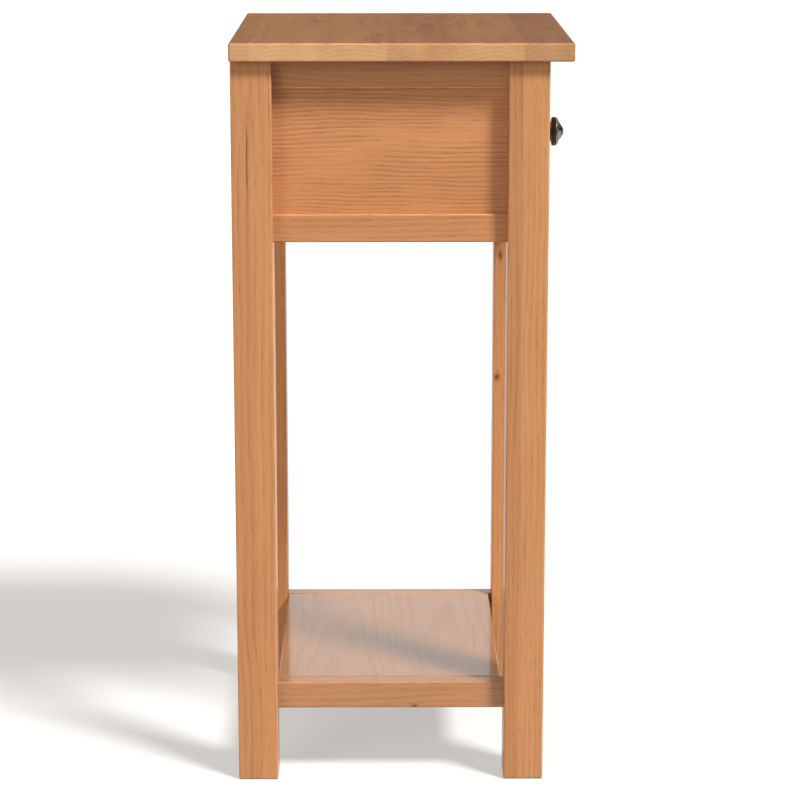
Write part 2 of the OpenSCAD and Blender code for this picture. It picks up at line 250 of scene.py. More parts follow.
# Each wood: pale and deep tones, line tone, end grain as a share of the face's colour, ring width
# in millimetres, how far slow sway and small ripples bend the rings, strength of the ring lines
# and how crisp they are, strength of the pores, how broken the lines are along and across,
# lacquer, roughness, and strength of the surface relief
WOODS = {
    # The top's faces are coloured darker than its wood, as painted shade; its large end shares bring its
    # end faces back to the wood's own colour
    "oak_top": dict(
        pale=rgb(183, 121, 63), deep=rgb(158, 95, 44), line=rgb(108, 59, 28), end=(1.42, 2.08, 3.90),
        ring=4.2, sway=26.0, ripple=0.2, lines=0.42, crisp=1.8, pores=0.22,
        broken=(7.0, 26.0), coat=0.5, rough=0.28, relief=0.02),
    "oak_leg": dict(
        pale=rgb(203, 147, 100), deep=rgb(186, 127, 82), line=rgb(146, 88, 49), end=(0.86, 0.83, 0.80),
        ring=5.0, sway=22.0, ripple=2.4, lines=0.28, crisp=1.3, pores=0.34,
        broken=(6.0, 40.0), coat=0.22, rough=0.42, relief=0.28),
    "oak_rail": dict(
        pale=rgb(203, 147, 101), deep=rgb(186, 127, 82), line=rgb(146, 88, 49), end=(0.86, 0.83, 0.80),
        ring=4.4, sway=24.0, ripple=3.0, lines=0.34, crisp=1.3, pores=0.34,
        broken=(10.0, 60.0), coat=0.25, rough=0.42, relief=0.28),
    "oak_panel": dict(
        pale=rgb(209, 149, 103), deep=rgb(189, 126, 80), line=rgb(138, 83, 46), end=(0.86, 0.83, 0.80),
        ring=4.0, sway=30.0, ripple=4.4, lines=0.46, crisp=1.1, pores=0.3,
        broken=(14.0, 36.0), coat=0.22, rough=0.42, relief=0.28),
    "oak_shelf": dict(
        pale=rgb(155, 108, 72), deep=rgb(142, 94, 61), line=rgb(112, 68, 40), end=(1.30, 1.30, 1.30),
        ring=4.4, sway=26.0, ripple=2.2, lines=0.30, crisp=1.8, pores=0.22,
        broken=(9.0, 30.0), coat=1.0, rough=0.32, relief=0.12),
    "oak_drawer_front": dict(
        pale=rgb(206, 149, 103), deep=rgb(186, 126, 81), line=rgb(140, 84, 46), end=(0.86, 0.83, 0.80),
        ring=4.8, sway=34.0, ripple=3.0, lines=0.48, crisp=1.5, pores=0.45,
        broken=(9.0, 30.0), coat=0.22, rough=0.42, relief=0.28),
    "strip_wood": dict(
        pale=rgb(222, 196, 154), deep=rgb(206, 174, 128), line=rgb(178, 138, 92), end=(0.9, 0.88, 0.85),
        ring=4.0, sway=20.0, ripple=2.0, lines=0.45, crisp=1.4, pores=0.15,
        broken=(4.0, 20.0), coat=0.0, rough=0.62, relief=0.40),
    "drawer_box_wood": dict(
        pale=rgb(226, 200, 158), deep=rgb(208, 177, 131), line=rgb(182, 143, 97), end=(0.9, 0.88, 0.85),
        ring=5.0, sway=30.0, ripple=2.0, lines=0.45, crisp=1.4, pores=0.15,
        broken=(4.0, 20.0), coat=0.05, rough=0.55, relief=0.40),
    "drawer_plywood": dict(
        pale=rgb(226, 203, 165), deep=rgb(211, 184, 142), line=rgb(186, 151, 108), end=(0.9, 0.88, 0.85),
        ring=8.0, sway=70.0, ripple=3.0, lines=0.40, crisp=1.4, pores=0.2,
        broken=(4.0, 12.0), coat=0.05, rough=0.55, relief=0.40),
}
# The shelf's rails share its glossier finish, with painted shade toning their upper faces down towards
# its colour
WOODS["oak_shelf_rail"] = dict(WOODS["oak_rail"], coat=0.8, upper=(0.66, 0.70, 0.80))

PORE_TONE = rgb(104, 60, 30)
KNOT_TONE = rgb(86, 46, 22)
# Arrises are paled by wear and by a painted highlight
WEAR_AND_HIGHLIGHT_TONE = (1.30, 1.27, 1.24)

# How far apart in the tree boards with other seeds lie, and the staves of one board
SEED_SPREAD = 3.7
STAVE_SPREAD = 1.3

# Noise scales, as (along the grain, across it)
SWAY = (2.6, 9.0)
RIPPLE = (22.0, 60.0)
CLOUD = (1.6, 26.0)
FINE = (14.0, 620.0)
PORES = (85.0, 1700.0)
MARK_DRIFT = (18.0, 0.0)
MARK_WOBBLE = 300.0
# Patches where the arrises are paled by wear and the painted highlight
WEAR_AND_HIGHLIGHT_PATCHES = (38.0, 38.0, 38.0)
SMEAR = (9.0, 9.0, 9.0)

# Faces that look along an axis within these cosines count as end grain, or as upper faces
FACING = (0.7, 0.95)
END_LINES_LOST = 0.6
STREAKS = 0.16
# Width of the arris band paled by wear and a painted highlight
WEAR_AND_HIGHLIGHT_WIDTH = (0.5 * MM, 2.0 * MM)
RELIEF_DEPTH = 0.10 * MM

# A mark drawn out more than LONG_MARK times wanders sideways, by up to half of DRIFT times its
# half width
LONG_MARK = 5
DRIFT = 4.0
woods_made = {}


def staves(s, place, seed):
    """Staves glued side by side across Y. Each takes its own tone and its own place in the tree.
    Gives the tone, the step from the first stave to the rest, the shift and the stave's own Y."""
    low_y = s.split(s.own("low", "Vector"))[1]
    reach = s.math("ADD", s.math("SUBTRACT", s.split(place)[1], low_y), s.own("stave_start"))
    number = s.math("FLOOR", s.math("DIVIDE", reach, s.own("stave")))
    luck = s.chance(s.math("ADD", number, seed))
    step = s.math("MINIMUM", s.math("MAXIMUM", number, 0.0), 1.0)
    tone = s.math("ADD", s.math("MULTIPLY", luck, s.own("stave_luck")), s.own("stave_first"))
    tone = s.math("ADD", tone, s.math("MULTIPLY", step, s.own("stave_step")))
    shift = s.math("MULTIPLY", seed, SEED_SPREAD)
    shift = s.math("ADD", shift, s.math("MULTIPLY", number, STAVE_SPREAD))
    middle = s.math("MULTIPLY", s.math("ADD", number, 0.5), s.own("stave"))
    middle = s.math("SUBTRACT", s.math("ADD", middle, low_y), s.own("stave_start"))
    return tone, step, shift, s.math("MULTIPLY", middle, s.own("own_pith"))


def ring_lines(s, look, axis, place, tree, shift, stave_y):
    """How porous the wood is: rings round the pith, bent by noise that is stretched lengthwise."""
    mask = tuple(0.0 if axis == letter else 1.0 for letter in "XYZ")
    pith = s.vector("ADD", s.own("pith", "Vector"), s.join(0.0, stave_y, 0.0))
    from_pith = s.vector("MULTIPLY", s.vector("SUBTRACT", place, pith), mask)
    radius = s.vector("LENGTH", from_pith, output="Value")
    sway = s.noise(s.vector("MULTIPLY", tree, along(axis, *SWAY)), detail=2)
    ripple = s.noise(s.vector("MULTIPLY", tree, along(axis, *RIPPLE)), detail=3)
    bent = s.math("ADD", radius, s.math("MULTIPLY", sway, look["sway"] * MM))
    bent = s.math("ADD", bent, s.math("MULTIPLY", ripple, look["ripple"] * MM))
    turn = s.math("FRACT", s.math("DIVIDE", s.math("ADD", bent, shift), look["ring"] * MM))
    rise = s.remap(turn, 0.05, 0.86)
    fall = s.remap(turn, 0.90, 1.0, 1.0, 0.0)
    return s.math("MULTIPLY", s.math("POWER", rise, look["crisp"]), fall)


def with_mark(s, look, axis, place, colour, mark):
    """A colour with one mark on it: a dark eye and a softer halo, drawn out along the grain."""
    centre, half, stretch = mark
    squeeze = along(axis, 1.0 / stretch, 1.0)
    drift = s.noise(s.vector("MULTIPLY", place, along(axis, *MARK_DRIFT)), detail=1)
    wander = half * DRIFT * (stretch > LONG_MARK)
    drift = s.math("MULTIPLY", s.math("SUBTRACT", drift, 0.5), wander)
    bent_place = s.vector("ADD", place, s.join(drift, drift, drift))
    gap = s.vector("MULTIPLY", s.vector("SUBTRACT", bent_place, centre), squeeze)
    far = s.vector("LENGTH", gap, output="Value")
    scale = along(axis, MARK_WOBBLE / stretch, MARK_WOBBLE)
    wobble = s.noise(s.vector("MULTIPLY", place, scale), detail=2)
    far = s.math("ADD", far, s.math("MULTIPLY", s.math("SUBTRACT", wobble, 0.5), half * 1.1))
    colour = s.mix(s.remap(far, half * 0.5, half * 1.9, 0.55, 0.0), colour, look["line"])
    return s.mix(s.remap(far, half * 0.35, half * 0.9, 0.75, 0.0), colour, KNOT_TONE)


def wood(slot, axis, marks=()):
    """Solid wood with its grain along one axis: rings round a pith outside the board, slow
    changes of tone, ring lines, pores, arrises paler from wear and a painted highlight, and knots,
    streaks or a dark spot as marks, each (centre, half width, how far it is drawn out along the grain)."""
    key = (slot, axis, tuple(marks))
    if key in woods_made:
        return woods_made[key]
    look = WOODS[slot]
    name = f"{slot}_{axis.lower()}" + (f"_{len(woods_made)}" if marks else "")
    s = Shader(name)
    place = s.position()
    stave_tone, step, shift, stave_y = staves(s, place, s.own("seed"))
    tree = s.vector("ADD", place, s.join(shift, shift, shift))
    porous = ring_lines(s, look, axis, place, tree, shift, stave_y)
    facing = s.facing()
    end = s.math("ABSOLUTE", s.vector("DOT_PRODUCT", facing, tuple(AXES[axis]), "Value"))
    end = s.remap(end, *FACING)

    # Slow tone, ring lines, fine streaks and pores
    cloud = s.noise(s.vector("MULTIPLY", tree, along(axis, *CLOUD)), detail=3, roughness=0.55)
    fine = s.noise(s.vector("MULTIPLY", tree, along(axis, *FINE)), detail=2)
    tone = s.remap(cloud, 0.30, 0.70, smooth=False)
    tone = s.math("ADD", s.math("MULTIPLY", tone, 0.5), stave_tone, clamp=True)
    colour = s.mix(tone, look["deep"], look["pale"])
    patch = s.noise(s.vector("MULTIPLY", tree, along(axis, *look["broken"])), detail=2)
    strength = s.remap(patch, 0.36, 0.62, 0.15, 1.0)
    line = s.math("MULTIPLY", s.math("MULTIPLY", porous, strength), look["lines"])
    line = s.math("MULTIPLY", line, s.remap(fine, 0.2, 0.7, 0.55, 1.0))
    kept = s.math("SUBTRACT", 1.0, s.math("MULTIPLY", end, END_LINES_LOST))
    line = s.math("MULTIPLY", line, kept)
    colour = s.mix(line, colour, look["line"])
    streak = s.math("MULTIPLY", s.remap(fine, 0.35, 0.75), STREAKS)
    colour = s.mix(streak, colour, look["line"])
    dots = s.noise(s.vector("MULTIPLY", tree, along(axis, *PORES)), detail=1)
    pore = s.remap(dots, 0.56, 0.68)
    pore = s.math("MULTIPLY", pore, s.math("ADD", 0.12, s.math("MULTIPLY", porous, 0.88)))
    pore = s.math("MULTIPLY", pore, look["pores"])
    colour = s.mix(pore, colour, PORE_TONE)
    for mark in marks:
        colour = with_mark(s, look, axis, place, colour, mark)

    # End grain takes the finish differently, arrises are paler from wear and a painted highlight,
    # and boards differ in tone
    # On the top the end faces come out much paler, since its other faces are painted darker as shade
    colour = s.mix(end, colour, s.vector("MULTIPLY", colour, look["end"]))
    patchy_wear_and_highlight = s.noise(s.vector("MULTIPLY", place, WEAR_AND_HIGHLIGHT_PATCHES), detail=3)
    wear_and_highlight = s.remap(s.arris(place), *WEAR_AND_HIGHLIGHT_WIDTH, 1.0, 0.0)
    wear_and_highlight = s.math("MULTIPLY", wear_and_highlight, s.remap(patchy_wear_and_highlight, 0.26, 0.60))
    rubbed_and_highlit = s.scaled(s.vector("MULTIPLY", colour, WEAR_AND_HIGHLIGHT_TONE), s.own("wear_and_highlight_strength"))
    colour = s.mix(wear_and_highlight, colour, rubbed_and_highlit)
    # Upper faces are toned towards the shelf's colour: painted shade
    if "upper" in look:
        up = s.vector("DOT_PRODUCT", facing, tuple(AXES["Z"]), "Value")
        shaded_upper_colour = s.vector("MULTIPLY", colour, look["upper"])
        colour = s.mix(s.remap(up, *FACING), colour, shaded_upper_colour)
    shade = s.math("ADD", 1.0, s.math("MULTIPLY", step, s.own("stave_shade")))
    colour = s.scaled(colour, s.math("MULTIPLY", s.own("tone"), shade))

    # Uneven polish, rougher in the pores and where it is worn
    smear = s.noise(s.vector("MULTIPLY", place, SMEAR), detail=3)
    rough = s.math("ADD", look["rough"] - 0.05, s.math("MULTIPLY", smear, 0.10))
    rough = s.math("ADD", rough, s.math("MULTIPLY", pore, 0.25))
    rough = s.math("ADD", rough, s.math("MULTIPLY", wear_and_highlight, 0.06))
    s.set(Base_Color=colour, Roughness=rough, Coat_Weight=look["coat"],
          Coat_Roughness=0.10, Coat_IOR=1.5, IOR=1.46, Specular_IOR_Level=0.42)
    height = s.math("SUBTRACT", s.math("MULTIPLY", fine, 0.35), s.math("MULTIPLY", pore, 1.6))
    height = s.math("SUBTRACT", height, s.math("MULTIPLY", line, 0.5))
    s.bump(height, RELIEF_DEPTH, look["relief"])
    woods_made[key] = s.material
    return s.material


# Metals: noise scales of blotches and pits, how softly the painted dark band ends, and the relief
BLOTCHES = 260.0
PITS = 2400.0
BAND_SOFTNESS = 0.4 * MM
METAL_DEPTH = 0.05 * MM
METAL_RELIEF = 0.5


def metal(slot, dark, bright, rough, grain, band=None):
    """Metal with a patina: darker blotches, fine pits, marks of turning at the grain's noise scales,
    and uneven polish. A band across Y, given as (front, back), takes the dark tone as a painted
    reflection."""
    s = Shader(slot)
    place = s.position()
    blotch = s.noise(place, scale=BLOTCHES, detail=4, roughness=0.6)
    pits = s.noise(place, scale=PITS, detail=2)
    turning = s.noise(s.vector("MULTIPLY", place, grain), detail=1)
    share = s.remap(blotch, 0.32, 0.68)
    share = s.math("MULTIPLY", share, s.remap(pits, 0.25, 0.6, 0.55, 1.0))
    if band:
        y = s.split(place)[1]
        after = s.remap(y, band[0] - BAND_SOFTNESS, band[0] + BAND_SOFTNESS)
        before = s.remap(y, band[1] - BAND_SOFTNESS, band[1] + BAND_SOFTNESS, 1.0, 0.0)
        painted_rim_reflection = s.math("MULTIPLY", after, before)
        share = s.math("MULTIPLY", share, s.math("SUBTRACT", 1.0, painted_rim_reflection))
    roughness = s.math("ADD", rough, s.math("MULTIPLY", share, -0.14))
    roughness = s.math("ADD", roughness, s.math("MULTIPLY", pits, 0.08))
    s.set(Base_Color=s.mix(share, dark, bright), Metallic=1.0, Roughness=roughness)
    height = s.math("ADD", s.math("MULTIPLY", pits, 0.6), s.math("MULTIPLY", turning, 0.5))
    s.bump(height, METAL_DEPTH, METAL_RELIEF)
    return s.material


# ---------------------------------------------------------------- boards

def is_arris(edge):
    """A long outer edge between two faces that meet at a sharp angle."""
    if len(edge.link_faces) != 2 or not edge.is_convex:
        return False
    return edge.calc_length() > SHORTEST_ARRIS and edge.calc_face_angle() > ARRIS_ANGLE


def round_rim(work, face, radius, steps=4):
    """Rounds the rim of a flat face by insetting it in steps and sinking each outer ring."""
    normal = face.normal.copy()
    rings = []
    angles = [math.radians(90) * step / steps for step in range(steps + 1)]
    for before, after in zip(angles, angles[1:]):
        width = radius * (math.cos(before) - math.cos(after))
        made = bmesh.ops.inset_region(work, faces=[face], thickness=width, use_even_offset=True)
        around = {vert for side in made["faces"] for vert in side.verts}
        rings.append(around - set(face.verts))
    for ring, angle in zip(rings, angles):
        for vert in ring:
            vert.co -= normal * radius * (1 - math.sin(angle))


def eased(node, radius, foot=0.0):
    """A CAD node's mesh with its joinery kept, its long arrises rounded, and its foot too."""
    work = bmesh.new()
    work.from_mesh(frame["nodes"][node].data)
    bmesh.ops.remove_doubles(work, verts=work.verts, dist=WELD)
    bmesh.ops.dissolve_limit(work, angle_limit=FLAT_ANGLE, verts=work.verts, edges=work.edges)
    arrises = [edge for edge in work.edges if is_arris(edge)]
    if arrises and radius:
        bmesh.ops.bevel(work, geom=arrises, offset=radius, offset_type="OFFSET", profile=0.5,
                        segments=ARRIS_SEGMENTS, affect="EDGES", clamp_overlap=True)
    if foot:
        lowest = min(work.faces, key=lambda face: face.calc_center_median().z)
        round_rim(work, lowest, foot)
    return work


def rounded_outline(low, high, radius, steps=6):
    """Points round a rectangle with rounded corners, as (x, y)."""
    points = []
    corners = (
        (high.x - radius, high.y - radius, 0), (low.x + radius, high.y - radius, 90),
        (low.x + radius, low.y + radius, 180), (high.x - radius, low.y + radius, 270),
    )
    for x, y, start in corners:
        for step in range(steps + 1):
            angle = math.radians(start + 90 * step / steps)
            points.append((x + radius * math.cos(angle), y + radius * math.sin(angle)))
    return points


def slab(node, corner, arris, steps=5):
    """A flat slab over a node's box, with rounded corners and rounded upper and lower arrises."""
    low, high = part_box(node)
    work = bmesh.new()
    levels = []
    for step in range(steps + 1):
        angle = math.radians(90) * step / steps
        levels.append((arris * (1 - math.sin(angle)), low.z + arris * (1 - math.cos(angle))))
    levels += [(inset, low.z + high.z - height) for inset, height in reversed(levels)]
    rings = []
    for inset, height in levels:
        shift = Vector((inset, inset, 0))
        outline = rounded_outline(low + shift, high - shift, corner - inset)
        rings.append([work.verts.new((x, y, height)) for x, y in outline])
    bridge(work, rings)
    work.faces.new(reversed(rings[0]))
    work.faces.new(rings[-1])
    return work


# How far off a board's pith lies in each direction
PITH_AWAY = (48 * MM, 88 * MM)


def board(node, work, slot, axis, marks=(), pith=None, look=None, **own):
    """The finished board for a CAD node, with the values that its wood reads."""
    material = wood(look or slot, axis, marks)
    piece = new_piece(node + "_board", work, material, slot, body_of_node(node))
    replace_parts(piece, node)
    low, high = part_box(node)
    values = dict(tone=1.0, wear_and_highlight_strength=1.0, stave=1.0, stave_start=0.0, stave_luck=0.0, stave_first=0.2,
                  stave_step=0.0, stave_shade=0.0, own_pith=0.0)
    values.update(own)
    piece["seed"] = random.uniform(0.0, 9.0)
    for name, value in values.items():
        piece[name] = value
    piece["low"] = low
    piece["high"] = high
    if pith is None:
        pith = [random.choice((-1, 1)) * random.uniform(*PITH_AWAY) for _ in "XYZ"]
        pith = (low + high) / 2 + Vector(pith)
    piece["pith"] = pith
    weighted = piece.modifiers.new("weighted", "WEIGHTED_NORMAL")
    weighted.keep_sharp = True
    weighted.weight = 100


TOP_CORNER = 2.4 * MM
TOP_ARRIS = 1.9 * MM
LEG_FOOT = 2.2 * MM

# Legs are glued from two layers: width of the first from its front face, and the layers' tones
LEGS = {
    "leg_front_left": dict(stave=26 * MM, stave_first=0.38, stave_step=-0.10, stave_shade=-0.12),
    "leg_back_left": dict(stave=20 * MM, stave_first=0.32, stave_step=-0.06, stave_shade=-0.05),
    "leg_front_right": dict(tone=1.08, stave=20 * MM, stave_first=0.30, stave_step=0.10),
    # The back right leg's tone is raised: painted light on a leg that stands in shade
    "leg_back_right": dict(tone=1.32, stave=24 * MM, stave_first=0.12, stave_step=0.18),
}

# Knots and streaks on the boards, and a dark spot at the shelf's front corner beside the leg: (centre
# in metres, half width, how far it is drawn out along the grain)
MARKS = {
    "leg_back_left": [((-0.181, 0.1515, 0.640), 1.0 * MM, 44.0)],
    "leg_front_right": [
        ((0.141, -0.107, 0.352), 3.2 * MM, 1.5),
        ((0.141, -0.110, 0.489), 2.6 * MM, 2.0)],
    "shelf_left_rail": [((-0.167, -0.0125, 0.074), 2.6 * MM, 1.6)],
    "shelf_board": [((-0.134, -0.1005, 0.100), 1.3 * MM, 1.2)],
}

# Slot, grain axis and arris radius of each flat board
BOARDS = {}
for side in ("left", "right"):
    BOARDS[f"{side}_upper_rail"] = ("oak_rail", "Y", 1.8 * MM)
    BOARDS[f"{side}_lower_rail"] = ("oak_rail", "Y", 1.8 * MM)
    BOARDS[f"{side}_panel"] = ("oak_panel", "Y", 0.0)
    BOARDS[f"shelf_{side}_rail"] = ("oak_rail", "Y", 1.8 * MM)
    BOARDS[f"shelf_{side}_cleat"] = ("strip_wood", "Y", 0.8 * MM)
    BOARDS[f"{side}_runner"] = ("strip_wood", "Y", 0.8 * MM)
    BOARDS[f"{side}_guide"] = ("strip_wood", "Y", 0.8 * MM)
    BOARDS[f"{side}_kicker"] = ("strip_wood", "Y", 0.8 * MM)
    BOARDS[f"drawer_{side}_side"] = ("drawer_box_wood", "Y", 1.0 * MM)
BOARDS["back_upper_rail"] = ("oak_rail", "X", 1.5 * MM)
BOARDS["back_lower_rail"] = ("oak_rail", "X", 1.5 * MM)
BOARDS["back_panel"] = ("oak_panel", "X", 0.0)
BOARDS["front_upper_rail"] = ("oak_rail", "X", 1.5 * MM)
BOARDS["front_lower_rail"] = ("oak_rail", "X", 1.5 * MM)
BOARDS["shelf_board"] = ("oak_shelf", "X", 1.6 * MM)
BOARDS["drawer_stops"] = ("strip_wood", "X", 0.6 * MM)
BOARDS["drawer_front"] = ("oak_drawer_front", "X", 1.5 * MM)
BOARDS["drawer_back"] = ("drawer_box_wood", "X", 1.0 * MM)
BOARDS["drawer_bottom"] = ("drawer_plywood", "X", 0.0)

TOP_STAVE = 66.2 * MM
TOP_STAVE_START = 17.2 * MM
SHELF_STAVE = 115.0 * MM
STAVE_PITH = -85 * MM
PANEL_PITH = Vector((30 * MM, 0, 190 * MM))

# The top and the shelf are staves glued side by side, and the top's front stave is darker
staved = dict(stave_luck=0.5, stave_first=0.0, own_pith=1.0)
front_stave = dict(tone=0.86, stave_shade=0.16)
under_top = Vector((0, 0, mid("tabletop").z + STAVE_PITH))
under_shelf = Vector((0, 0, mid("shelf_board").z + STAVE_PITH))

# Values of single boards, where they aren't the usual ones
OWN = {
    "shelf_board": dict(staved, pith=under_shelf, stave=SHELF_STAVE),
    # The near shelf rail's tone is lowered as painted shade
    "shelf_left_rail": dict(tone=0.86, look="oak_shelf_rail"),
    "shelf_right_rail": dict(look="oak_shelf_rail"),
}
for side in ("left", "right"):
    # The upper rails' arrises get a stronger painted highlight along with their wear
    OWN[f"{side}_upper_rail"] = dict(wear_and_highlight_strength=1.7)
    OWN[f"{side}_panel"] = dict(pith=mid(f"{side}_panel") + PANEL_PITH)

board("tabletop", slab("tabletop", TOP_CORNER, TOP_ARRIS), "oak_top", "X", pith=under_top,
      stave=TOP_STAVE, stave_start=TOP_STAVE_START, **staved, **front_stave)
for node, (slot, axis, radius) in BOARDS.items():
    own = OWN.get(node, {})
    board(node, eased(node, radius), slot, axis, MARKS.get(node, ()), **own)
for node, layers in LEGS.items():
    board(node, eased(node, 0.0, LEG_FOOT), "oak_leg", "Z", MARKS.get(node, ()), **layers)


# ---------------------------------------------------------------- knob and screws

ROUND_STEPS = 96


def turned(points, place, outward, steps=ROUND_STEPS):
    """Solid of revolution from (radius, reach) points, from its back to its tip."""
    work = bmesh.new()
    turn = outward.to_track_quat("Z", "Y").to_matrix().to_4x4()
    matrix = Matrix.Translation(place) @ turn
    rings = []
    for radius, reach in points:
        ring = []
        for step in range(steps):
            angle = math.tau * step / steps
            spot = Vector((radius * math.cos(angle), radius * math.sin(angle), reach))
            ring.append(work.verts.new(matrix @ spot))
        rings.append(ring)
    bridge(work, rings)
    work.faces.new(reversed(rings[0]))
    work.faces.new(rings[-1])
    return work


def curve_through(points, steps=5):
    """Smooth outline through (radius, reach) points, by a Catmull-Rom curve."""
    ends = [points[0]] + list(points) + [points[-1]]
    result = []
    for a, b, c, d in zip(ends, ends[1:], ends[2:], ends[3:]):
        for step in range(steps):
            t = step / steps
            result.append(tuple(
                0.5 * (2 * q + (r - p) * t + (2 * p - 5 * q + 4 * r - s) * t ** 2
                       + (3 * q - p - 3 * r + s) * t ** 3)
                for p, q, r, s in zip(a, b, c, d)))
    result.append(points[-1])
    return result


knob_low, knob_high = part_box("knob")
knob_radius = (knob_high.x - knob_low.x) / 2
knob_reach = knob_high.y - knob_low.y
knob_base = Vector((mid("knob").x, knob_high.y, mid("knob").z))

# Outline of the knob in millimetres, as (radius, reach): foot, waist, bell, grooved rim, cove and
# low dome. Between the two reaches of its band the metal takes the dark tone, a painted reflection
# of the wood. All of it is scaled from the outline's own radius and reach to the knob's box.
KNOB_FOOT = [(8.0, 0.0), (8.4, 0.6), (8.1, 1.5), (6.4, 2.3), (5.2, 3.6), (4.7, 5.6), (4.7, 7.4),
             (5.3, 9.6), (7.2, 11.8), (10.6, 13.6), (13.4, 14.4)]
KNOB_RIM = [(14.7, 14.9), (15.0, 15.6), (15.0, 16.3), (14.55, 16.6), (14.55, 16.9), (14.9, 17.2),
            (14.9, 17.9), (14.45, 18.2), (14.45, 18.5), (14.8, 18.8), (14.7, 19.5), (14.1, 20.1)]
KNOB_DOME = [(13.4, 20.5), (12.5, 21.2), (11.7, 21.5), (10.7, 21.8), (9.4, 22.6), (7.7, 23.8),
             (5.8, 25.1), (4.2, 26.1), (2.6, 26.8), (0.4, 27.0)]
KNOB_BAND = (14.4, 18.8)
OUTLINE_RADIUS = 15.0
OUTLINE_REACH = 27.0
scale_r = knob_radius / OUTLINE_RADIUS
scale_z = knob_reach / OUTLINE_REACH
outline = curve_through(KNOB_FOOT) + KNOB_RIM + curve_through(KNOB_DOME)
outline = [(radius * scale_r, reach * scale_z) for radius, reach in outline]
knob_band = [knob_base.y - reach * scale_z for reach in reversed(KNOB_BAND)]
antique = metal("antique_metal", rgb(76, 60, 56), rgb(158, 154, 153), 0.31, (900.0, 90.0, 900.0),
                knob_band)
knob = new_piece("turned_knob", turned(outline, knob_base, Vector((0, -1, 0))), antique,
                 "antique_metal", body_of_node("knob"))
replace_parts(knob, "knob")

THREAD_STEPS = 16
THREAD_PITCH = 1.4 * MM
THREAD_DEPTH = 0.45 * MM
POINT_LENGTH = 4.0 * MM
BLUNT_LENGTH = 0.6 * MM
POINT_RADIUS = 0.08
BLUNT_RADIUS = 0.7
RECESS_REACH = 0.62
RECESS_HALF = 0.14
RECESS_DEPTH = 0.55
RECESS_TAPER = 0.6
END_SHARE = 0.15


def islands(work):
    """The separate closed pieces of a mesh, each as a list of vertices."""
    left = set(work.verts)
    while left:
        start = left.pop()
        found = [start]
        for vert in found:
            for edge in vert.link_edges:
                other = edge.other_vert(vert)
                if other in left:
                    left.remove(other)
                    found.append(other)
        yield found


def girth(verts, middle, axis, end, reach):
    """Half width of a screw within reach of one end of its axis."""
    across = (axis + 1) % 3
    near = [vert.co for vert in verts if abs(vert.co[axis] - end) < reach]
    return max(abs(co[across] - middle[across]) for co in near)


def screw_places(node):
    """Head centre, direction into the wood, length and head radius of each screw of a node."""
    work = bmesh.new()
    work.from_mesh(frame["nodes"][node].data)
    bmesh.ops.remove_doubles(work, verts=work.verts, dist=WELD)
    places = []
    for verts in islands(work):
        low = Vector([min(vert.co[i] for vert in verts) for i in range(3)])
        high = Vector([max(vert.co[i] for vert in verts) for i in range(3)])
        middle = (low + high) / 2
        axis = max(range(3), key=lambda i: high[i] - low[i])
        length = high[axis] - low[axis]
        at_low, at_high = (girth(verts, middle, axis, end[axis], length * END_SHARE)
                           for end in (low, high))
        head_low = at_low > at_high
        head = middle.copy()
        head[axis] = low[axis] if head_low else high[axis]
        inward = Vector((0, 0, 0))
        inward[axis] = 1 if head_low else -1
        places.append((head, inward, length, max(at_low, at_high)))
    work.free()
    return sorted(places, key=lambda place: tuple(place[0]))


def add_screw(work, place, shank, head, pointed=True):
    """One screw: a head with a cross recess, a shank with a helical thread, and its tip.
    head gives (radius, depth) points from the rim of the head's face down to the shank."""
    centre, inward, length, _ = place
    spin = Matrix.Rotation(random.uniform(0, math.pi / 2), 4, "Z")
    matrix = Matrix.Translation(centre) @ inward.to_track_quat("Z", "Y").to_matrix().to_4x4() @ spin

    def ring(radius_at, depth):
        made = []
        for step in range(THREAD_STEPS):
            angle = math.tau * step / THREAD_STEPS
            radius = radius_at(angle, depth)
            spot = Vector((radius * math.cos(angle), radius * math.sin(angle), depth))
            made.append(work.verts.new(matrix @ spot))
        return made

    def thread(angle, depth):
        turn = (depth / THREAD_PITCH - angle / math.tau) % 1.0
        return shank - THREAD_DEPTH * (1 - abs(2 * turn - 1))

    tip_length = POINT_LENGTH if pointed else BLUNT_LENGTH
    tip_radius = shank * (POINT_RADIUS if pointed else BLUNT_RADIUS)
    rings = [ring(lambda angle, depth, r=radius: r, reach) for radius, reach in head]
    depth = head[-1][1] + THREAD_PITCH / 4
    while depth < length - tip_length:
        rings.append(ring(thread, depth))
        depth += THREAD_PITCH / 4
    rings.append(ring(lambda angle, depth: tip_radius, length))
    bridge(work, rings)
    work.faces.new(rings[-1])

    # Cross recess: twelve corners round the cross, sunk into the head's face
    reach, half = head[0][0] * RECESS_REACH, head[0][0] * RECESS_HALF
    arm = [(reach, -half), (reach, half), (half, half)]
    cross = []
    for quarter in range(4):
        turn = Matrix.Rotation(quarter * math.pi / 2, 2)
        cross += [turn @ Vector(point) for point in arm]
    sunk = head[0][0] * RECESS_DEPTH
    brim = [work.verts.new(matrix @ Vector((x, y, 0))) for x, y in cross]
    taper = RECESS_TAPER
    floor = [work.verts.new(matrix @ Vector((x * taper, y * taper, sunk))) for x, y in cross]
    bridge(work, [brim, floor])
    work.faces.new(floor)
    rims = []
    for loop in (rings[0], brim):
        for index, vert in enumerate(loop):
            other = loop[(index + 1) % len(loop)]
            rims.append(work.edges.get((vert, other)))
    bmesh.ops.triangle_fill(work, edges=rims, use_beauty=True, use_dissolve=False)


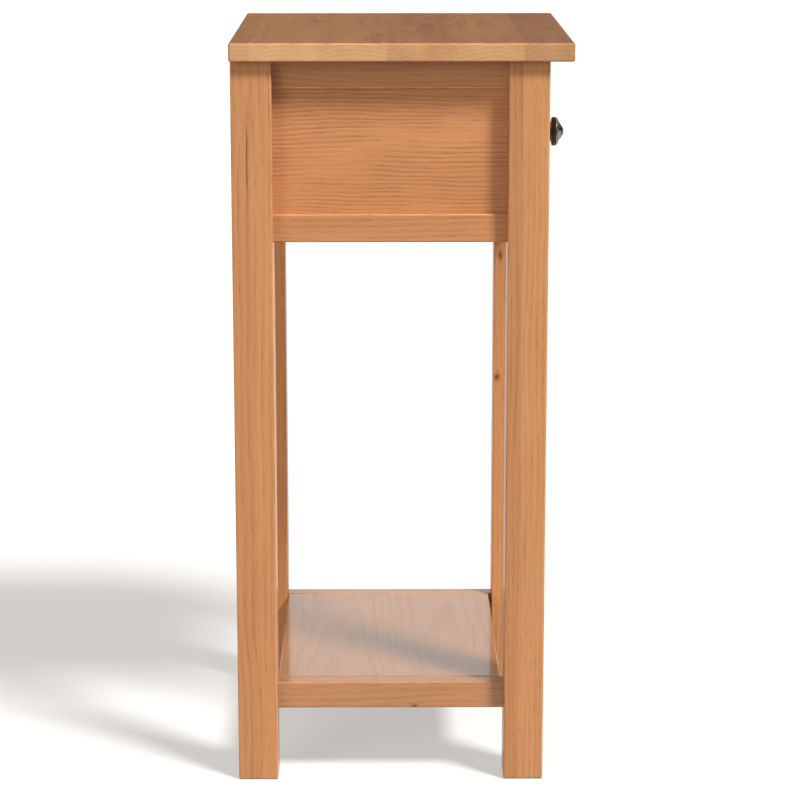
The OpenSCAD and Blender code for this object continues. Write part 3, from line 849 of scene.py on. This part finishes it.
zinc = metal("zinc_steel", rgb(128, 126, 120), rgb(200, 198, 190), 0.38, (120.0, 120.0, 1600.0))
SCREW_NODES = ("tabletop_screws", "runner_screws", "shelf_screws", "cleat_screws",
               "drawer_bottom_screws", "knob_screw")
SHANK_SHARE = 0.52
SUNK_RIM_SHARE = 0.99
SUNK_HEIGHT_SHARE = 0.62
PAN_HEIGHT = 2.2 * MM
PAN_EDGE = [(0.82, 0.0), (0.95, 0.10), (1.0, 0.28)]
for node in SCREW_NODES:
    work = bmesh.new()
    machine = node == "knob_screw"
    for place in screw_places(node):
        radius = place[3]
        shank = radius * SHANK_SHARE
        head = [(radius * SUNK_RIM_SHARE, 0.0), (shank, radius * SUNK_HEIGHT_SHARE)]
        if machine:
            head = [(radius * out, radius * down) for out, down in PAN_EDGE]
            head += [(radius, PAN_HEIGHT), (shank, PAN_HEIGHT)]
        add_screw(work, place, shank, head, pointed=not machine)
    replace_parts(new_piece(node + "_threaded", work, zinc, "zinc_steel", body_of_node(node)), node)


# ---------------------------------------------------------------- floor, light and camera

# The floor lies just under the feet. Matt tone and glow are what the eye sees of it, and the
# bounce is the colour of the light that it throws on the table
FLOOR_RADIUS = 60.0
FLOOR_DROP = 0.05 * MM
FLOOR_MATT = (0.42, 0.42, 0.42, 1.0)
FLOOR_GLOW = 0.45
FLOOR_BOUNCE = (0.235, 0.20, 0.15, 1.0)


def pale_floor():
    """Wide round floor, paler to the eye than in the light that it throws back, and clear from
    below."""
    work = bmesh.new()
    bmesh.ops.create_circle(work, cap_ends=True, segments=64, radius=FLOOR_RADIUS)
    mesh = bpy.data.meshes.new("floor")
    work.to_mesh(mesh)
    work.free()
    floor = bpy.data.objects.new("floor", mesh)
    bpy.context.scene.collection.objects.link(floor)
    floor.location.z = -FLOOR_DROP
    material = bpy.data.materials.new("pale_floor")
    material.use_nodes = True
    tree = material.node_tree
    tree.nodes.clear()
    matt = tree.nodes.new("ShaderNodeBsdfDiffuse")
    matt.inputs["Color"].default_value = FLOOR_MATT
    glow = tree.nodes.new("ShaderNodeEmission")
    glow.inputs["Strength"].default_value = FLOOR_GLOW
    seen = tree.nodes.new("ShaderNodeAddShader")
    tree.links.new(matt.outputs[0], seen.inputs[0])
    tree.links.new(glow.outputs[0], seen.inputs[1])
    thrown = tree.nodes.new("ShaderNodeBsdfDiffuse")
    thrown.inputs["Color"].default_value = FLOOR_BOUNCE
    path = tree.nodes.new("ShaderNodeLightPath")
    choice = tree.nodes.new("ShaderNodeMixShader")
    output = tree.nodes.new("ShaderNodeOutputMaterial")
    tree.links.new(path.outputs["Is Diffuse Ray"], choice.inputs[0])
    tree.links.new(seen.outputs[0], choice.inputs[1])
    tree.links.new(thrown.outputs[0], choice.inputs[2])
    under = tree.nodes.new("ShaderNodeNewGeometry")
    clear = tree.nodes.new("ShaderNodeBsdfTransparent")
    sided = tree.nodes.new("ShaderNodeMixShader")
    tree.links.new(under.outputs["Backfacing"], sided.inputs[0])
    tree.links.new(choice.outputs[0], sided.inputs[1])
    tree.links.new(clear.outputs[0], sided.inputs[2])
    tree.links.new(sided.outputs[0], output.inputs["Surface"])
    mesh.materials.append(material)


# Surroundings: what the camera sees, what matt faces get, and what glossy faces reflect: a ceiling
# that fades in between two heights of the direction, and a soft box between two angles in degrees
BACKGROUND = 0.95
SOFT_COLOUR = (1.0, 0.86, 0.62, 1.0)
SOFT_LIGHT = 0.29
CEILING_COLOUR = (1.0, 0.965, 0.91, 1.0)
CEILING_EDGE = (0.20, 0.29)
HORIZON_GLOSS = 0.02
CEILING_GLOSS = 1.12
SOFT_BOX_GLOSS = 7.5
SOFT_BOX_ANGLES = (7.0, 13.0)
KEY_DIRECTION = (-0.4205, -0.467, 0.778)

# Each light: name, direction it comes from, strength, softness in degrees, and colour
LIGHTS = (
    ("key", KEY_DIRECTION, 4.5, 13.0, (1.0, 0.985, 0.96)),
    ("fill", (-0.76, 0.58, 0.30), 0.9, 30.0, (0.97, 0.98, 1.0)),
    ("far_fill", (0.78, 0.10, 0.60), 0.45, 70.0, (1.0, 0.97, 0.92)),
)


def studio_light():
    """Pale surroundings. Matt surfaces get a warm soft light from them, and glossy ones reflect
    a bright ceiling over a dim horizon, with a soft box where the key light comes from."""
    world = bpy.data.worlds.new("studio")
    bpy.context.scene.world = world
    world.use_nodes = True
    tree = world.node_tree
    tree.nodes.clear()
    place = tree.nodes.new("ShaderNodeTexCoord")
    split = tree.nodes.new("ShaderNodeSeparateXYZ")
    tree.links.new(place.outputs["Generated"], split.inputs[0])
    level = tree.nodes.new("ShaderNodeMapRange")
    level.interpolation_type = "SMOOTHSTEP"
    level.inputs["From Min"].default_value = CEILING_EDGE[0]
    level.inputs["From Max"].default_value = CEILING_EDGE[1]
    level.inputs["To Min"].default_value = HORIZON_GLOSS
    level.inputs["To Max"].default_value = CEILING_GLOSS
    tree.links.new(split.outputs["Z"], level.inputs["Value"])

    towards_box = tree.nodes.new("ShaderNodeVectorMath")
    towards_box.operation = "DOT_PRODUCT"
    towards_box.inputs[1].default_value = KEY_DIRECTION
    tree.links.new(place.outputs["Generated"], towards_box.inputs[0])
    box = tree.nodes.new("ShaderNodeMapRange")
    box.interpolation_type = "SMOOTHSTEP"
    box.inputs["From Min"].default_value = math.cos(math.radians(SOFT_BOX_ANGLES[1]))
    box.inputs["From Max"].default_value = math.cos(math.radians(SOFT_BOX_ANGLES[0]))
    box.inputs["To Max"].default_value = SOFT_BOX_GLOSS
    tree.links.new(towards_box.outputs["Value"], box.inputs["Value"])
    reflected = tree.nodes.new("ShaderNodeMath")
    reflected.operation = "ADD"
    tree.links.new(level.outputs["Result"], reflected.inputs[0])
    tree.links.new(box.outputs["Result"], reflected.inputs[1])

    def background(colour, strength):
        node = tree.nodes.new("ShaderNodeBackground")
        node.inputs["Color"].default_value = colour
        node.inputs["Strength"].default_value = strength
        return node

    seen = background((1, 1, 1, 1), BACKGROUND)
    soft = background(SOFT_COLOUR, SOFT_LIGHT)
    glossy = background(CEILING_COLOUR, 1.0)
    tree.links.new(reflected.outputs[0], glossy.inputs["Strength"])
    path = tree.nodes.new("ShaderNodeLightPath")
    output = tree.nodes.new("ShaderNodeOutputWorld")
    last = soft.outputs[0]
    for ray, light in (("Is Glossy Ray", glossy), ("Is Camera Ray", seen)):
        choice = tree.nodes.new("ShaderNodeMixShader")
        tree.links.new(path.outputs[ray], choice.inputs[0])
        tree.links.new(last, choice.inputs[1])
        tree.links.new(light.outputs[0], choice.inputs[2])
        last = choice.outputs[0]
    tree.links.new(last, output.inputs["Surface"])


def soft_sun(name, towards, strength, angle, colour):
    """Parallel light from one direction with soft-edged shadows, left out of reflections."""
    data = bpy.data.lights.new(name, "SUN")
    data.energy = strength
    data.angle = math.radians(angle)
    data.color = colour
    lamp = bpy.data.objects.new(name, data)
    bpy.context.scene.collection.objects.link(lamp)
    lamp.rotation_euler = Vector(towards).to_track_quat("Z", "Y").to_euler()
    lamp.visible_glossy = False


pale_floor()
studio_light()
for light in LIGHTS:
    soft_sun(*light)

# Camera: beyond the table's left end, higher than its top and a little towards its back from
# the middle of the legs, turned slightly to the front and looking down
CAMERA_BEYOND = 2.619
CAMERA_HEIGHT = 0.9775
CAMERA_TO_BACK = 7.5 * MM
CAMERA_PITCH = math.radians(12.49)
CAMERA_YAW = math.radians(0.37)
CAMERA_LENS = 121.8
CAMERA_SENSOR = 36.0
CAMERA_CLIP = 200.0

leg_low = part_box("leg_front_left")[0]
back_leg_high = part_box("leg_back_left")[1]
data = bpy.data.cameras.new("camera")
data.lens = CAMERA_LENS
data.sensor_width = CAMERA_SENSOR
data.clip_end = CAMERA_CLIP
camera = bpy.data.objects.new("camera", data)
bpy.context.scene.collection.objects.link(camera)
camera.location = (leg_low.x - CAMERA_BEYOND, (leg_low.y + back_leg_high.y) / 2 + CAMERA_TO_BACK,
                   CAMERA_HEIGHT)
sight = Vector((
    math.cos(CAMERA_PITCH) * math.cos(CAMERA_YAW),
    -math.cos(CAMERA_PITCH) * math.sin(CAMERA_YAW),
    -math.sin(CAMERA_PITCH),
))
camera.rotation_euler = sight.to_track_quat("-Z", "Y").to_euler()
bpy.context.scene.camera = camera
bpy.context.scene.view_settings.view_transform = "Standard"
bpy.context.scene.view_settings.look = "None"
